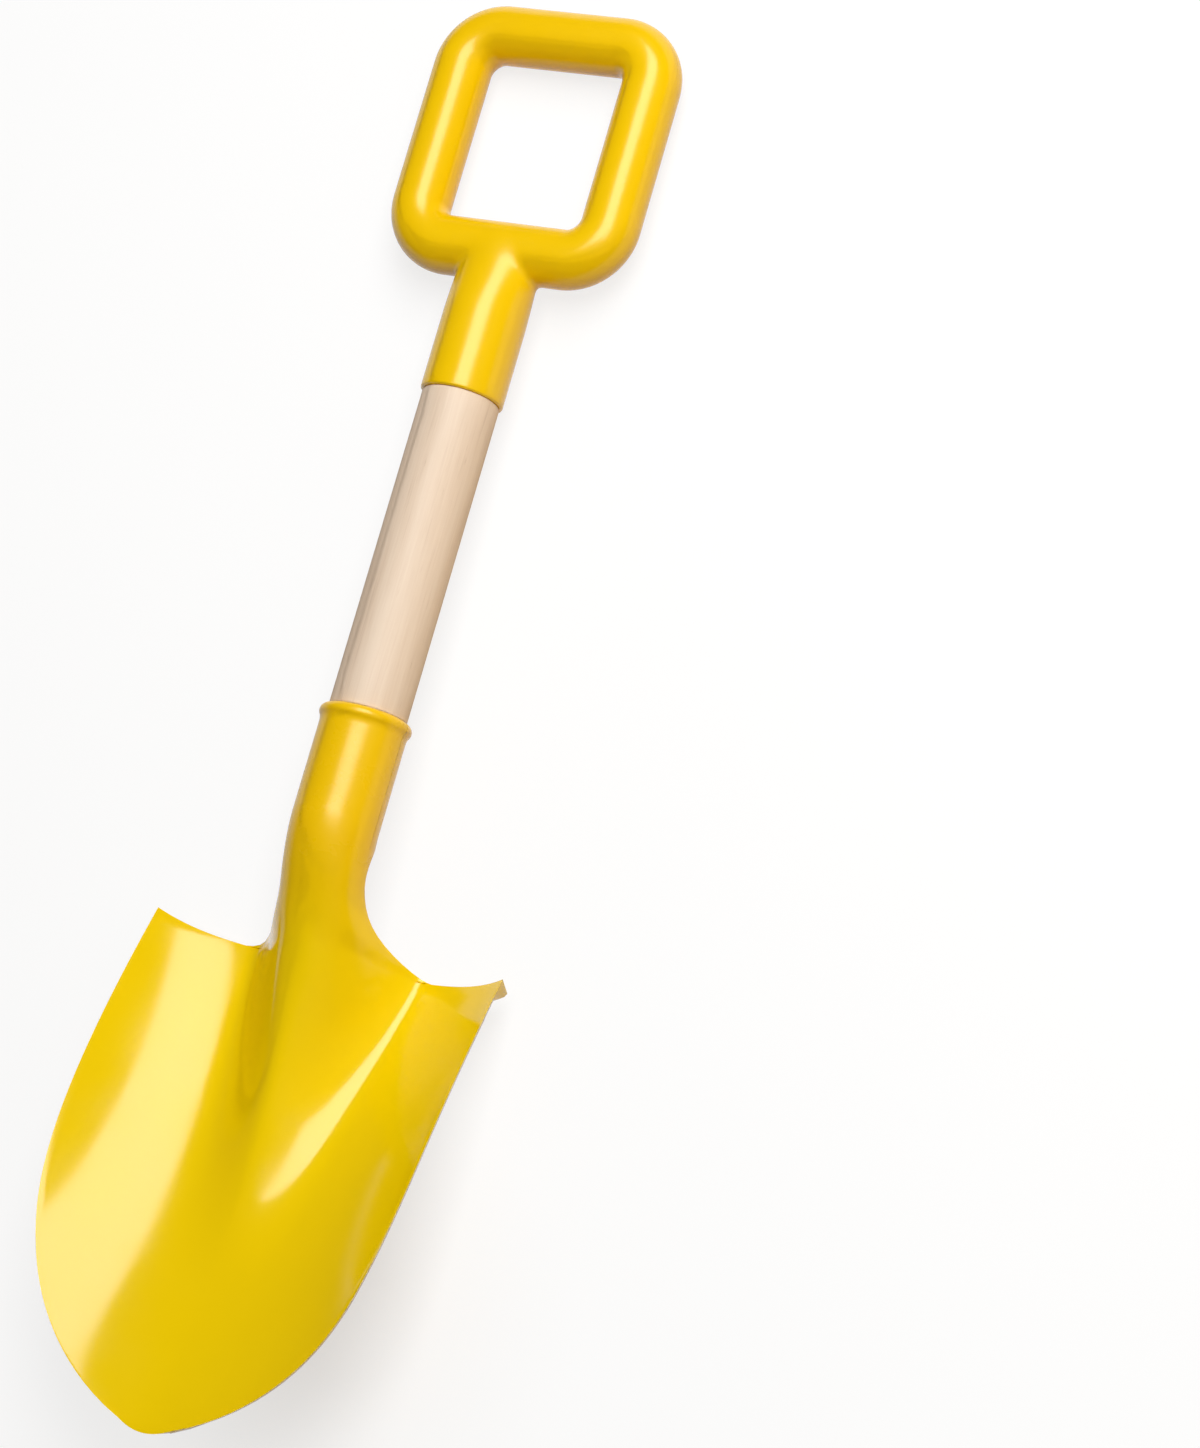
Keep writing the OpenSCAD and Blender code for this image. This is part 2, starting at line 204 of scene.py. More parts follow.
class Graph:
    """A node tree with one short call per node."""

    def __init__(self, tree: NodeTree) -> None:
        """Keeps the tree."""
        self.tree = tree

    def add(self, kind: str, inputs: dict[Any, Any] | None = None, **settings: Any) -> Node:
        """Adds a node.

        Args:
            kind: the node's type.
            inputs: a value or another node's output for each input, by name or index.
            settings: the node's own properties.

        Returns:
            The new node.
        """
        node = self.tree.nodes.new(kind)
        for name, value in settings.items():
            setattr(node, name, value)
        for name, value in (inputs or {}).items():
            if isinstance(value, NodeSocket):
                self.tree.links.new(value, node.inputs[name])
            else:
                node.inputs[name].default_value = value
        return node

    def feed(self, node: Node, name: str, value: Any) -> None:
        """Links an output to a node's input."""
        self.tree.links.new(value, node.inputs[name])

    def blend(self, share: Any, low: Any, high: Any) -> Any:
        """A colour between two colours."""
        return self.add("ShaderNodeMix", {0: share, 6: low, 7: high}, data_type="RGBA").outputs[2]

    def noise(self, vector: Any, scale: float, detail: float = 2.0, rough: float = 0.5) -> Any:
        """A noise texture's value on a vector."""
        inputs = {"Vector": vector, "Scale": scale, "Detail": detail, "Roughness": rough}
        return self.add("ShaderNodeTexNoise", inputs).outputs[0]

    def mapped(
        self, vector: Any, turn: Sequence[float], scale: Sequence[float], place: Sequence[float] = ZERO
    ) -> Any:
        """A vector in a frame that is placed, turned and scaled."""
        inputs = {"Vector": vector, "Location": place, "Rotation": turn, "Scale": scale}
        return self.add("ShaderNodeMapping", inputs, vector_type="TEXTURE").outputs[0]

    def spread(self, value: Any, low: float, high: float, start: float = 0.3, end: float = 0.7) -> Any:
        """A value spread from start..end to low..high."""
        inputs = {"Value": value, "From Min": start, "From Max": end, "To Min": low, "To Max": high}
        return self.add("ShaderNodeMapRange", inputs).outputs[0]

    def ramp(self, value: Any, stops: Sequence[tuple[float, Triple]]) -> Any:
        """Adds a colour ramp.

        Args:
            value: what the ramp runs over.
            stops: the place and the colour of each stop.

        Returns:
            The ramp's colour.
        """
        node = self.add("ShaderNodeValToRGB", {"Fac": value})
        ramp = node.color_ramp
        while len(ramp.elements) < len(stops):
            ramp.elements.new(0.5)
        for element, (place, colour) in zip(ramp.elements, stops):
            element.position = place
            element.color = (*colour, 1.0)
        return node.outputs[0]

    def math(self, kind: str, first: Any, second: Any) -> Any:
        """The result of an operation on two values."""
        return self.add("ShaderNodeMath", {0: first, 1: second}, operation=kind).outputs[0]

    def bump(self, height: Any, distance: float, strength: float, under: Any = None) -> Any:
        """Adds a bump.

        Args:
            height: the relief.
            distance: how high a relief of 1 stands.
            strength: how much of it shows.
            under: the normal under it, if there is one.

        Returns:
            The bumped normal.
        """
        inputs = {"Height": height, "Distance": distance, "Strength": strength}
        if under is not None:
            inputs["Normal"] = under
        return self.add("ShaderNodeBump", inputs).outputs[0]


def new_material(name: str) -> tuple[Material, Graph, Node, NodeSocket]:
    """Starts a material.

    Args:
        name: the material's name.

    Returns:
        The material, its node graph, its surface shader and the object's coordinates.
    """
    material = bpy.data.materials.new(name)
    material.use_nodes = True
    graph = Graph(material.node_tree)
    place = graph.add("ShaderNodeTexCoord").outputs["Object"]
    return material, graph, material.node_tree.nodes["Principled BSDF"], place


@dataclass(frozen=True)
class GlossPlastic:
    """Gloss moulded plastic in one through colour.

    The flow is given by its scale and stretch, the ripple and the grain by their scale, height
    and strength.
    """

    name: str
    colour: Triple
    deep: Triple
    lie: Lie
    roughness: float = 0.13
    haze: float = 0.05
    # painted shade: the orange tone and its share stand in for the deeper, more orange look of the shaded
    # neck
    warm: Triple = (0.95, 0.575, 0.0)
    painted_shade_share: float = 0.0
    dull: float = 0.0
    dull_span: Pair = (-0.067, -0.036)
    seam: float = 0.0
    seam_half_w: float = 0.00022
    seam_from: float = -0.036
    slope: float = 0.07
    flow: Pair = (24.0, 2.2)
    polish: float = 70.0
    polish_gain: float = 0.02
    rub: float = 900.0
    rub_slant: float = 0.45
    rub_stretch: Triple = (0.03, 1.0, 0.6)
    rub_dull: float = 0.06
    rub_span: Pair = (0.62, 0.72)
    ripple: Triple = (40.0, 0.0002, 0.35)
    grain: Triple = (1100.0, 0.00001, 0.3)
    ior: float = 1.46

    def material(self) -> Material:
        """Makes the material.

        Returns:
            A yellow with a faint flow of tone, a painted shade that turns it more orange towards the socket,
            a duller gloss towards the socket, with a polish that varies, fine rub marks, a slight moulded
            ripple and the mould's parting line.
        """
        material, graph, shader, place = new_material(self.name)
        flow_scale, flow_l = self.flow
        flow = graph.noise(graph.mapped(place, (self.slope, 0.0, 0.0), (1.0, flow_l, 1.0)), flow_scale, 3.0)
        colour = graph.ramp(flow, [(0.3, self.deep), (0.7, self.colour)])
        along, depth = self.socket_frame(graph, place)
        # painted shade: the colour is blended towards the orange tone along the shaft up to the socket
        painted_shade = graph.spread(along, 0.0, self.painted_shade_share, *self.dull_span)
        graph.feed(shader, "Base Color", graph.blend(painted_shade, colour, (*self.warm, 1.0)))
        best = self.roughness - self.polish_gain
        polish = graph.spread(graph.noise(place, self.polish, 4.0, 0.6), best, self.roughness + self.haze)
        slanted = graph.mapped(place, (self.slope, 0.0, self.rub_slant), self.rub_stretch)
        rubs = graph.noise(slanted, self.rub)
        marks = graph.spread(rubs, 0.0, self.rub_dull, *self.rub_span)
        dulled = graph.math("ADD", polish, graph.spread(along, 0.0, self.dull, *self.dull_span))
        graph.feed(shader, "Roughness", graph.math("ADD", dulled, marks))
        scale, *relief = self.ripple
        ripple = graph.bump(graph.noise(place, scale, 1.0), *relief)
        scale, *relief = self.grain
        grain = graph.bump(graph.noise(place, scale), *relief, ripple)
        line = graph.spread(graph.math("ABSOLUTE", depth, 0.0), 1.0, 0.0, 0.0, self.seam_half_w)
        kept = graph.math("GREATER_THAN", along, self.seam_from)
        graph.feed(shader, "Normal", graph.bump(graph.math("MULTIPLY", line, kept), self.seam, 1.0, grain))
        shader.inputs["IOR"].default_value = self.ior
        return material

    def socket_frame(self, graph: Graph, place: Any) -> tuple[Any, Any]:
        """Measures from the rim of the blade's socket.

        Args:
            graph: the material's nodes.
            place: the object's coordinates.

        Returns:
            The distance along the shaft and the one out of the scoop.
        """
        rim = self.lie.matrix().translation
        own = graph.mapped(place, (self.lie.turn(), 0.0, 0.0), (1.0, 1.0, 1.0), rim)
        split = graph.add("ShaderNodeSeparateXYZ", {0: own}).outputs
        return split["Y"], split["Z"]


@dataclass(frozen=True)
class PaleWood:
    """Sanded pale hardwood with its grain along the shaft, each kind by its scale and stretch."""

    name: str
    light: Triple
    middle: Triple
    dark: Triple
    lie_turn: float
    ring: Pair = (260.0, 14.0)
    fibre: Pair = (1900.0, 45.0)
    pore: Pair = (1500.0, 9.0)
    ring_share: float = 0.6
    pit_dark: float = 0.09
    pore_span: Pair = (0.68, 0.8)
    roughness: Pair = (0.5, 0.68)
    relief: Pair = (0.0002, 0.3)

    def grain(self, graph: Graph, place: Any, kind: Pair, *shape: float) -> Any:
        """A noise of one scale, drawn out along the shaft."""
        along = graph.mapped(place, (self.lie_turn, 0.0, 0.0), (1.0, kind[1], 1.0))
        return graph.noise(along, kind[0], *shape)

    def material(self) -> Material:
        """Makes the material.

        Returns:
            A pale wood with broad rings, fine fibres and short pores, all along the shaft.
        """
        material, graph, shader, place = new_material(self.name)
        ring = self.grain(graph, place, self.ring, 3.0, 0.55)
        fibre = self.grain(graph, place, self.fibre, 3.0, 0.65)
        pores = self.grain(graph, place, self.pore, 1.0)
        rings = graph.math("MULTIPLY", ring, self.ring_share)
        tone = graph.math("ADD", rings, graph.math("MULTIPLY", fibre, 1.0 - self.ring_share))
        depth = graph.math("SUBTRACT", tone, graph.spread(pores, 0.0, self.pit_dark, *self.pore_span))
        stops = [(0.2, self.dark), (0.42, self.middle), (0.6, self.light)]
        graph.feed(shader, "Base Color", graph.ramp(depth, stops))
        graph.feed(shader, "Roughness", graph.spread(fibre, *self.roughness))
        graph.feed(shader, "Normal", graph.bump(depth, *self.relief))
        return material


@dataclass(frozen=True)
class PlatedSteel:
    """Zinc-plated steel."""

    name: str
    colour: Triple
    dull: Triple
    cloud: float = 900.0
    roughness: Pair = (0.42, 0.26)
    turning: Triple = (4000.0, 0.00002, 0.4)

    def material(self) -> Material:
        """Makes the material.

        Returns:
            A plated steel with cloudy patches and fine turning marks.
        """
        material, graph, shader, place = new_material(self.name)
        cloud = graph.noise(place, self.cloud, 3.0)
        graph.feed(shader, "Base Color", graph.ramp(cloud, [(0.3, self.dull), (0.65, self.colour)]))
        graph.feed(shader, "Roughness", graph.spread(cloud, *self.roughness))
        scale, *relief = self.turning
        graph.feed(shader, "Normal", graph.bump(graph.noise(place, scale), *relief))
        shader.inputs["Metallic"].default_value = 1.0
        return material


@dataclass(frozen=True)
class WhiteSweep:
    """The floor of a white studio sweep."""

    name: str
    colour: Triple
    bounce: Triple = (0.5, 0.36, 0.18)
    shade_middle: Triple = (0.03, -0.165, 0.0)
    shade_reach: Pair = (0.015, 0.065)
    lift: float = 0.62
    near_lift: float = 0.8
    run_out: Pair = (0.12, 0.55)
    cloud: float = 6.0
    cloud_tone: float = 0.985
    roughness: float = 0.9
    specular: float = 0.1

    def material(self) -> Material:
        """Makes the floor.

        Returns:
            A matt white with a painted glow for camera, gloss and transmission rays whose share grows with
            distance from the blade: it keeps the shadow by the blade and paints it out to plain white away
                from it. Only the light that it throws on matt surfaces is dimmer and warmer than it looks.
        """
        material, graph, shader, place = new_material(self.name)
        shade = tuple(part * self.cloud_tone for part in self.colour)
        colour = graph.ramp(graph.noise(place, self.cloud), [(0.35, shade), (0.65, self.colour)])
        path = graph.add("ShaderNodeLightPath").outputs
        seen = graph.math("MAXIMUM", path["Is Camera Ray"], path["Is Glossy Ray"])
        seen = graph.math("MAXIMUM", seen, path["Is Transmission Ray"])
        graph.feed(shader, "Base Color", graph.blend(seen, (*self.bounce, 1.0), colour))
        shader.inputs["Roughness"].default_value = self.roughness
        shader.inputs["Specular IOR Level"].default_value = self.specular
        glow = graph.add("ShaderNodeEmission", {"Color": (*WHITE, 1.0), "Strength": 1.0})
        # painted glow: the glow's share rises with distance from shade_middle, so the floor's shadow shows
        # only near the blade
        apart = graph.add("ShaderNodeVectorMath", {0: place, 1: self.shade_middle}, operation="DISTANCE")
        near = graph.spread(apart.outputs["Value"], self.lift, self.near_lift, *self.shade_reach)
        far = graph.spread(apart.outputs["Value"], 0.0, 1.0, *self.run_out)
        share = graph.math("MULTIPLY", seen, graph.math("MAXIMUM", near, far))
        both = graph.add("ShaderNodeMixShader", {0: share, 1: shader.outputs[0], 2: glow.outputs[0]})
        output = next(node for node in graph.tree.nodes if node.type == "OUTPUT_MATERIAL")
        graph.feed(output, "Surface", both.outputs[0])
        return material


@dataclass(frozen=True)
class Countersink:
    """The hole for a screw's head in the back of a socket."""

    y: float
    socket_r: float
    head_r: float = 0.003
    shank_r: float = 0.0013
    sink: float = 0.0002
    gap: float = 0.00006
    over: float = 0.004
    end_z: float = -0.006
    steps: int = 40

    def cutter(self) -> BMesh:
        """Spins the hole's solid.

        Returns:
            The solid in the shaft's frame, from outside the socket into its bore.
        """
        face = self.sink - math.sqrt(self.socket_r**2 - self.head_r**2)
        wide = self.head_r + self.gap
        slim = self.shank_r + self.gap
        cone = face + self.head_r - self.shank_r
        top = face - self.over
        end = self.end_z
        profile = [(0.0, top), (wide, top), (wide, face), (slim, cone), (slim, end), (0.0, end)]
        points = [(radius, self.y, z) for radius, z in profile]
        return lathe(points, (0.0, self.y, 0.0), (0.0, 0.0, 1.0), self.steps)

    def cut(self, piece: Object, place: Matrix) -> None:
        """Cuts the hole out of a piece.

        Args:
            piece: the moulding.
            place: the transform from the shaft's frame to the row's frame.
        """
        bm = self.cutter()
        bmesh.ops.transform(bm, matrix=place, verts=bm.verts[:])
        tool = link_mesh("countersink_cutter", bm)
        hole = piece.modifiers.new("countersink", "BOOLEAN")
        hole.operation = "DIFFERENCE"
        hole.solver = "EXACT"
        hole.object = tool
        solid = bpy.data.meshes.new_from_object(piece.evaluated_get(bpy.context.evaluated_depsgraph_get()))
        piece.modifiers.remove(hole)
        spent = [piece.data, tool.data]
        piece.data = solid
        bpy.data.objects.remove(tool)
        for mesh in spent:
            bpy.data.meshes.remove(mesh)
        solid.name = piece.name
        self.clean(solid)

    def clean(self, solid: Mesh) -> None:
        """Splits the many-sided faces round the hole and takes out faces without area.

        Args:
            solid: the moulding's mesh, with its hole.
        """
        bm = bmesh.new()
        bm.from_mesh(solid)
        many_sided = [face for face in bm.faces if len(face.verts) > 4]
        bmesh.ops.triangulate(bm, faces=many_sided, quad_method="BEAUTY", ngon_method="BEAUTY")
        bmesh.ops.dissolve_degenerate(bm, dist=SMALL, edges=bm.edges[:])
        bm.to_mesh(solid)
        bm.free()


def finish_piece(
    name: str,
    bm: BMesh,
    place: Matrix,
    material: Material,
    nodes: Sequence[str],
    holes: Sequence[Countersink] = (),
) -> None:
    """Turns a mesh into a piece of the shovel.

    Args:
        name: the piece's name.
        bm: its mesh in the shaft's frame, which is freed.
        place: the transform to the row's frame.
        material: its finish.
        nodes: the frame's nodes that it stands for.
        holes: the screw holes to cut out of it.
    """
    bmesh.ops.transform(bm, matrix=place, verts=bm.verts[:])
    bm.normal_update()
    piece = link_mesh(name, bm)
    piece.data.materials.append(material)
    for hole in holes:
        hole.cut(piece, place)
    mesh = piece.data
    mesh.shade_smooth()
    mesh.set_sharp_from_angle(angle=SHARP_ANGLE)
    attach(piece, "root")
    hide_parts(*nodes)
    log.info("%s: %d faces", name, len(mesh.polygons))


@dataclass
class Blade:
    """The moulded blade: bowl, ridge, ears, neck and socket in one wall."""

    width: float = 0.1076
    length: float = 0.1402
    wall: float = 0.0022
    top_wall: float = 0.00205
    ears_y: float = -0.061
    neck_l: float = 0.031
    top_dip: float = 0.004
    fillet_l: float = 0.021
    fillet_w: float = 0.0045
    ear_back: float = 0.015
    keel_back: float = 0.027
    tip_front: float = 0.007
    rim_front: float = 0.0081
    keel_sag: float = 0.002
    ridge_w: float = 0.054
    ridge_h: float = 0.029
    ridge_l: float = 0.100
    ridge_power: float = 1.6
    ridge_end_share: float = 0.55
    arch_from: float = 0.019
    lip_depth: float = 0.0031
    lip_end_depth: float = 0.0048
    lip_t: float = 0.0032
    socket_r: float = 0.0122
    socket_l: float = 0.030
    bore_r: float = 0.0101
    bore_l: float = 0.026
    bead_r: float = 0.002
    bead_proud: float = 0.00085
    neck_turn: float = 0.0195
    flank_narrow: float = 0.0006
    flank_drop: float = 0.0013
    tip_share: float = 0.985
    screw_inset: float = 0.013
    edge_slope: float = 0.0005
    edge_r: float = 0.00045
    edge_angle: float = 42.0
    edge_gap: float = 0.0045
    outline_powers: Pair = (5.0, 0.74)
    rim_peak: float = 0.64
    rim_power: float = 1.62
    bowl_powers: Pair = (2.75, 1.75)
    ridge_powers: Pair = (2.2, 1.6)
    ridge_soft_run: float = 0.4
    ridge_narrowing: float = 1.3
    foot_fade: float = 1.4
    foot_least: float = 0.25
    lip_fade: float = 1.75
    lip_blend: float = 0.16
    lip_end: float = 0.82
    lip_lean: float = 0.6
    lip_reach: float = 1.1
    trim_most: float = 0.6
    bead_turns: Pair = (-42.0, 90.0)
    exact_l: float = 0.012
    throat: tuple[Pair, ...] = ((0.0, -0.0052), (0.00003, -0.0046), (0.00013, -0.0041))
    bore_reach: float = 0.0006
    nudge: float = 1e-4
    rise_nudge: float = 1e-5
    rows: int = 60
    neck_rows: int = 14
    socket_rows: int = 5
    bead_rows: int = 10
    edge_rows: int = 3
    neck_cells: int = 20
    wing_cells: int = 22
    layers: Sequence[str] = ("v", "share", "rise")

    def outline(self, v: float) -> float:
        """Half width of the blade at a share of its length."""
        fall, round_off = self.outline_powers
        return self.width / 2 * (1 - v**fall) ** round_off

    def keel(self, v: float) -> float:
        """Height of the bowl's middle line."""
        return mix(-self.keel_back, self.tip_front, v) - 4 * self.keel_sag * v * (1 - v)

    def rim(self, v: float) -> float:
        """Works out the bowl's side edge, which peaks between the ears and the tip.

        Args:
            v: share of the length, from the ears to the tip.

        Returns:
            The edge's height.
        """
        peak = self.rim_peak
        if v < peak:
            return self.rim_front - (self.rim_front + self.ear_back) * (1 - v / peak) ** self.rim_power
        return self.rim_front - (self.rim_front - self.tip_front) * ((v - peak) / (1 - peak)) ** 2

    def bowl_power(self, v: float) -> float:
        """How late the bowl's section turns up towards its edge."""
        return mix(*self.bowl_powers, v)

    def ridge_run(self, v: float) -> float:
        """How far along the ridge a row lies, from 0 to 1."""
        return min(v * self.length / self.ridge_l, 1.0)

    def ridge_half_w(self, v: float) -> float:
        """Half width of the ridge's foot."""
        return self.ridge_w / 2 * mix(1.0, self.ridge_end_share, self.ridge_run(v) ** self.ridge_narrowing)

    def ridge_profile(self, share: float, run: float) -> float:
        """Height share of the ridge's section, which softens along its run."""
        power = mix(*self.ridge_powers, ease(run / self.ridge_soft_run))
        return (1 - min(abs(share), 1.0) ** power) ** 2

    def foot_share(self, v: float) -> float:
        """Share of the half width that the middle columns take."""
        foot = (self.ridge_w / 2 + self.fillet_w) * (1 - self.ridge_run(v) ** self.foot_fade)
        return max(foot / self.outline(v), self.foot_least)

    def bowl_point(self, v: float, share: float) -> Vector:
        """A point on the front of the bowl.

        Args:
            v: share of the length, from the ears to the tip.
            share: share of the half width, from the middle to the edge.

        Returns:
            The point in the shaft's frame.
        """
        x = share * self.outline(v)
        reach = v + (1 - self.tip_share) * (v / self.tip_share) ** 8 * (1 - share * share)
        y = self.ears_y - self.length * reach - self.top_dip * (1 - abs(share) ** 5) * (1 - v) ** 3
        run = self.ridge_run(v)
        section = self.ridge_profile(x / self.ridge_half_w(v), run)
        crest = self.ridge_h * (1 - run) ** self.ridge_power * section
        z = self.keel(reach) + (self.rim(v) - self.keel(v)) * abs(share) ** self.bowl_power(v) + crest
        return Vector((x, y, z))

    def neck_side(self, rise: float) -> float:
        """Works out the neck's outline.

        Args:
            rise: distance up the neck from the top edge's middle.

        Returns:
            The half width there.
        """
        if rise >= self.fillet_l:
            return self.socket_r
        foot = self.ridge_w / 2 + self.fillet_w
        reach = mix(foot, self.socket_r, math.sqrt(1 - (1 - rise / self.fillet_l) ** 2))
        return reach - self.flank_narrow * self.flank_run(rise)

    def flank_run(self, rise: float) -> float:
        """How much of the flanks' drop a row of the neck has."""
        t = min(rise / self.fillet_l, 1.0)
        return (4 * t * (1 - t)) ** 2

    def neck_point(self, rise: float, a: float) -> Vector:
        """A point on the front of the neck.

        Args:
            rise: distance up the neck from the top edge's middle.
            a: share of the way round from the crest to the side edge.

        Returns:
            The point in the shaft's frame.
        """
        run = self.neck_l + self.top_dip
        side = self.neck_side(rise)
        floor_slope = (self.tip_front + self.keel_back - 4 * self.keel_sag) / self.length
        ridge_slope = self.ridge_power * self.ridge_h / self.ridge_l
        x_low = side * a
        carried = self.bowl_point(0.0, x_low / (self.width / 2)).z
        carried += rise * (ridge_slope * self.ridge_profile(2 * x_low / self.ridge_w, 0.0) - floor_slope)
        low = self.bowl_point(0.0, 0.0).z
        t = min(rise / run, 1.0)
        start = (2 * t**3 - 3 * t * t + 1) * low
        slope = (t**3 - 2 * t * t + t) * run * (ridge_slope - floor_slope)
        crest = start + slope + (3 * t * t - 2 * t**3) * self.socket_r
        arch = min(max((rise - self.arch_from) / (run - self.arch_from), 0.0), 1.0)
        turn = math.pi / 2 * a * (2.0 - math.sqrt(1 - arch * arch))
        rounded = ease(rise / self.neck_turn)
        x = mix(x_low, side * math.sin(turn), rounded)
        z = mix(carried, crest - self.socket_r * (1 - math.cos(turn)), rounded)
        z -= self.flank_drop * self.flank_run(rise) * a**4
        return Vector((x, self.ears_y - self.top_dip + rise, z))

    def neck_rises(self) -> list[float]:
        """Spaces the rows of the neck.

        Returns:
            Their rises, closer in the fillet and in the arch of the open back.
        """
        top = self.neck_l + self.top_dip
        turns = [math.pi / 2 * k / self.neck_rows for k in range(1, self.neck_rows + 1)]
        fillet = [self.fillet_l * (1 - math.cos(turn)) for turn in turns]
        return fillet + [mix(self.fillet_l, top, math.sin(turn)) for turn in turns]

    def socket_profile(self) -> list[Pair]:
        """Draws the socket's outside.

        Returns:
            Radius and height of its rows, up over the bead to the mouth.
        """
        centre = self.socket_r + self.bead_proud - self.bead_r
        shares = [k / self.socket_rows for k in range(self.socket_rows + 1)]
        rows = [(self.socket_r, mix(-self.bore_l, self.throat[0][1], share)) for share in shares]
        rows += [(self.socket_r + proud, y) for proud, y in self.throat[1:]]
        for k in range(self.bead_rows + 1):
            turn = math.radians(mix(*self.bead_turns, k / self.bead_rows))
            rows.append((centre + self.bead_r * math.cos(turn), -self.bead_r + self.bead_r * math.sin(turn)))
        return rows

    def row_shares(self) -> list[float]:
        """The bowl's rows from the tip to the ears, with two rows for the lip."""
        lip = [self.lip_fade * self.lip_t / self.length, self.lip_t / self.length, 0.0]
        return [mix(lip[0], self.tip_share, k / self.rows) for k in range(self.rows, 0, -1)] + lip

    def skin(self) -> BMesh:
        """Makes the front of the wall.

        Returns:
            An open mesh. Its layers "v" and "share" say where a bowl vertex lies; "v" is -1 up the neck,
            where "rise" says how far, and -2 round the socket.
        """
        bm = bmesh.new()
        row_layer, share_layer, rise_layer = [bm.verts.layers.float.new(name) for name in self.layers]
        shares = self.row_shares()
        columns = self.neck_cells + self.wing_cells
        rows = len(shares) - 1
        bmesh.ops.create_grid(bm, x_segments=columns, y_segments=rows, size=0.5)
        top_row = []
        for vert in bm.verts:
            column = round((vert.co.x + 0.5) * columns)
            row = round((vert.co.y + 0.5) * rows)
            v = shares[row]
            foot = self.foot_share(v)
            if column <= self.neck_cells:
                share = foot * column / self.neck_cells
            else:
                share = mix(foot, 1.0, (column - self.neck_cells) / self.wing_cells)
            vert[row_layer] = v
            vert[share_layer] = share
            vert.co = self.bowl_point(v, share)
            if row == rows and column <= self.neck_cells:
                top_row.append(vert)
        kept = set(top_row)
        edges = [edge for edge in bm.edges if all(vert in kept for vert in edge.verts)]
        foot = self.foot_share(0.0)
        for rise in self.neck_rises():
            fresh, edges = pull(bm, edges)
            for vert in fresh:
                vert.co = self.neck_point(rise, vert[share_layer] / foot)
                vert[row_layer] = -1.0
                vert[rise_layer] = rise
        for radius, y in self.socket_profile():
            fresh, edges = pull(bm, edges)
            for vert in fresh:
                turn = math.pi * vert[share_layer] / foot
                vert.co = Vector((radius * math.sin(turn), y, radius * math.cos(turn)))
                vert[row_layer] = -2.0
        add_mirror(bm)
        bmesh.ops.recalc_face_normals(bm, faces=bm.faces[:])
        crest = max((face for face in bm.faces), key=lambda face: face.calc_center_median().z)
        if crest.normal.z < 0:
            bmesh.ops.reverse_faces(bm, faces=bm.faces[:])
        bm.normal_update()
        return bm

    def inside(self, v: float, share: float, rise: float) -> Vector:
        """The back of the wall behind a point of the bowl or of the neck's fillet.

        Args:
            v: share of the bowl's length, or -1 for the neck.
            share: the point's share of the half width.
            rise: distance up the neck.

        Returns:
            The point at the wall's depth, square to the front, on the right half.
        """
        step = self.nudge
        if v >= 0.0:
            front = self.bowl_point(v, share)
            along = front - self.bowl_point(v + step, share)
            across = self.bowl_point(v, share + step) - self.bowl_point(v, share - step)
        else:
            a = share / self.foot_share(0.0)
            higher = rise + self.rise_nudge
            next_a = a * self.neck_side(rise) / self.neck_side(higher)
            front = self.neck_point(rise, a)
            along = self.neck_point(higher, next_a) - front
            across = self.neck_point(rise, a + step) - self.neck_point(rise, a - step)
        return front - across.cross(along).normalized() * self.top_wall

    def thicken(self, bm: BMesh) -> None:
        """Gives the wall its thickness, its lip, its drawn-in back edge and its bore.

        Args:
            bm: the front of the wall.
        """
        row_layer, share_layer, rise_layer = [bm.verts.layers.float[name] for name in self.layers]
        front = set(bm.verts)
        bmesh.ops.solidify(bm, geom=bm.faces[:], thickness=self.wall)
        tip_slope = (self.tip_front + self.keel_back + 4 * self.keel_sag) / self.length
        tip_trim = self.wall * tip_slope / math.hypot(1.0, tip_slope) + self.edge_slope
        back = [vert for vert in bm.verts if vert not in front]
        foot = self.foot_share(0.0)
        for vert in back:
            v = vert[row_layer]
            share = vert[share_layer]
            if v < -1.5:
                flat = math.hypot(vert.co.x, vert.co.z)
                x, y, z = vert.co
                vert.co = Vector((x / flat * self.bore_r, y, z / flat * self.bore_r))
            elif v * self.length < self.exact_l and vert[rise_layer] < self.arch_from:
                side = -1.0 if vert.co.x < 0.0 else 1.0
                vert.co = self.inside(v, share, vert[rise_layer])
                vert.co.x *= side
            if v < 0.0:
                continue
            slope = self.bowl_power(v) * (self.rim(v) - self.keel(v)) / self.outline(v)
            trim = self.wall * abs(slope) / math.hypot(1.0, slope) + self.edge_slope
            vert.co.x -= math.copysign(min(trim, self.outline(v) * self.trim_most) * share**5, vert.co.x)
            vert.co.y += tip_trim * (v / self.tip_share) ** 5
            if v * self.length < self.lip_reach * self.lip_t:
                lip = ease((share - foot) / self.lip_blend)
                end = ease((share - self.lip_end) / (1 - self.lip_end))
                vert.co.z -= mix(self.lip_depth, self.lip_end_depth, end) * lip
                if v == 0.0:
                    vert.co.y -= self.lip_lean * self.lip_t * lip

    def floor(self, bm: BMesh) -> None:
        """Closes the bore's floor and the end of the neck's hollow.

        Args:
            bm: the wall, with its thickness.
        """
        low = -self.socket_l
        strip = []
        for face in bm.faces:
            centre = face.calc_center_median()
            in_bore = math.hypot(centre.x, centre.z) < self.bore_r + self.bore_reach
            if in_bore and low < centre.y < -self.bore_l and len(face.verts) == 4:
                strip.append(face)
        bmesh.ops.delete(bm, geom=strip, context="FACES_ONLY")
        bmesh.ops.delete(bm, geom=[edge for edge in bm.edges if not edge.link_faces], context="EDGES")
        bmesh.ops.holes_fill(bm, edges=[edge for edge in bm.edges if edge.is_boundary], sides=0)

